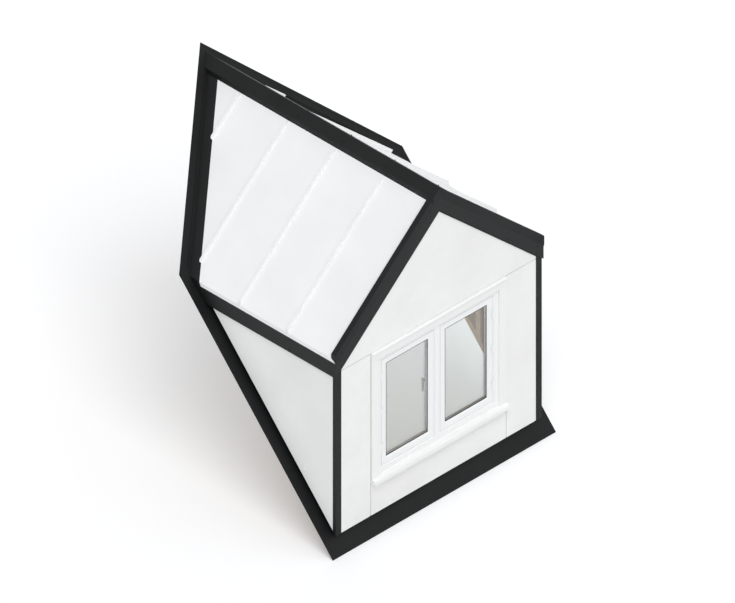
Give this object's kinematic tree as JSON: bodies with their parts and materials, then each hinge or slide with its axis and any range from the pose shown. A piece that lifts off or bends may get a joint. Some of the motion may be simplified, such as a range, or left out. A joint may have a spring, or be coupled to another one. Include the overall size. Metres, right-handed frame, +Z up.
{
  "type": "gable dormer window",
  "caption": "Timber-framed gable dormer with white walls and roof, dark verge, eave and ridge trims, flashings and a casement window, seated on a sloping roof.",
  "frame": {"origin": "middle of the front sill plate underside, on the sloping plane of the main roof that the dormer stands on", "axes": "X to the right as seen from the front, Y back into the main roof, Z up; the front faces -Y"},
  "size_m": [2.17, 2.3782, 2.6408],
  "materials": {
    "framing_timber": "planed softwood studs and plates, unpainted",
    "rafter_timber": "planed softwood rafters and boards, unpainted",
    "sheathing_board": "oriented strand board, unpainted",
    "deck_board": "softwood plywood, unpainted",
    "batten_timber": "rough-sawn treated softwood battens",
    "white_cladding": "smooth white fibre-cement panel, matt",
    "white_roof_metal": "white coil-coated standing-seam sheet, satin",
    "dark_metal": "near-black coil-coated folded sheet, satin",
    "dark_trim_board": "near-black painted trim board, satin",
    "white_trim_board": "white painted trim board, satin",
    "white_window": "white extruded window profile, satin",
    "window_glass": "clear sealed double glazing unit",
    "handle_metal": "satin anodised window handle",
    "galvanised_steel": "hot-dip galvanised ties, bolts and nails, spangled",
    "sealing_rubber": "matt black glazing gaskets"
  },
  "bodies": {
    "root": {"front_sill_plate": "framing_timber", "sole_plates": "framing_timber", "top_plates": "framing_timber", "corner_posts": "framing_timber", "king_studs": "framing_timber", "trimmer_studs": "framing_timber", "window_lintel": "framing_timber", "front_top_plate": "framing_timber", "rough_sill": "framing_timber", "cripple_studs": "framing_timber", "gable_studs": "framing_timber", "cheek_studs": "framing_timber", "ridge_board": "rafter_timber", "common_rafters": "rafter_timber", "jack_rafters": "rafter_timber", "valley_board_left": "rafter_timber", "valley_board_right": "rafter_timber", "collar_ties": "rafter_timber", "front_sheathing": "sheathing_board", "cheek_sheathing": "sheathing_board", "roof_deck_left": "deck_board", "roof_deck_right": "deck_board", "front_battens": "batten_timber", "cheek_battens": "batten_timber", "cheek_panel_left": "white_cladding", "cheek_panel_right": "white_cladding", "front_panels": "white_cladding", "lower_panel": "white_cladding", "gable_panel": "white_cladding", "roof_sheet_left": "white_roof_metal", "roof_sheet_right": "white_roof_metal", "apron_flashing": "dark_metal", "side_flashings": "dark_metal", "valley_flashing_left": "dark_metal", "valley_flashing_right": "dark_metal", "verge_trim": "dark_metal", "ridge_cap": "dark_metal", "corner_trims": "dark_metal", "barge_board_left": "dark_trim_board", "barge_board_right": "dark_trim_board", "fascia_boards": "dark_trim_board", "window_casing": "white_trim_board", "window_sill": "white_trim_board", "window_frame": "white_window", "window_sash_left": "white_window", "window_sash_right": "white_window", "window_glass": "window_glass", "window_handles": "handle_metal"}
  },
  "joints": []
}
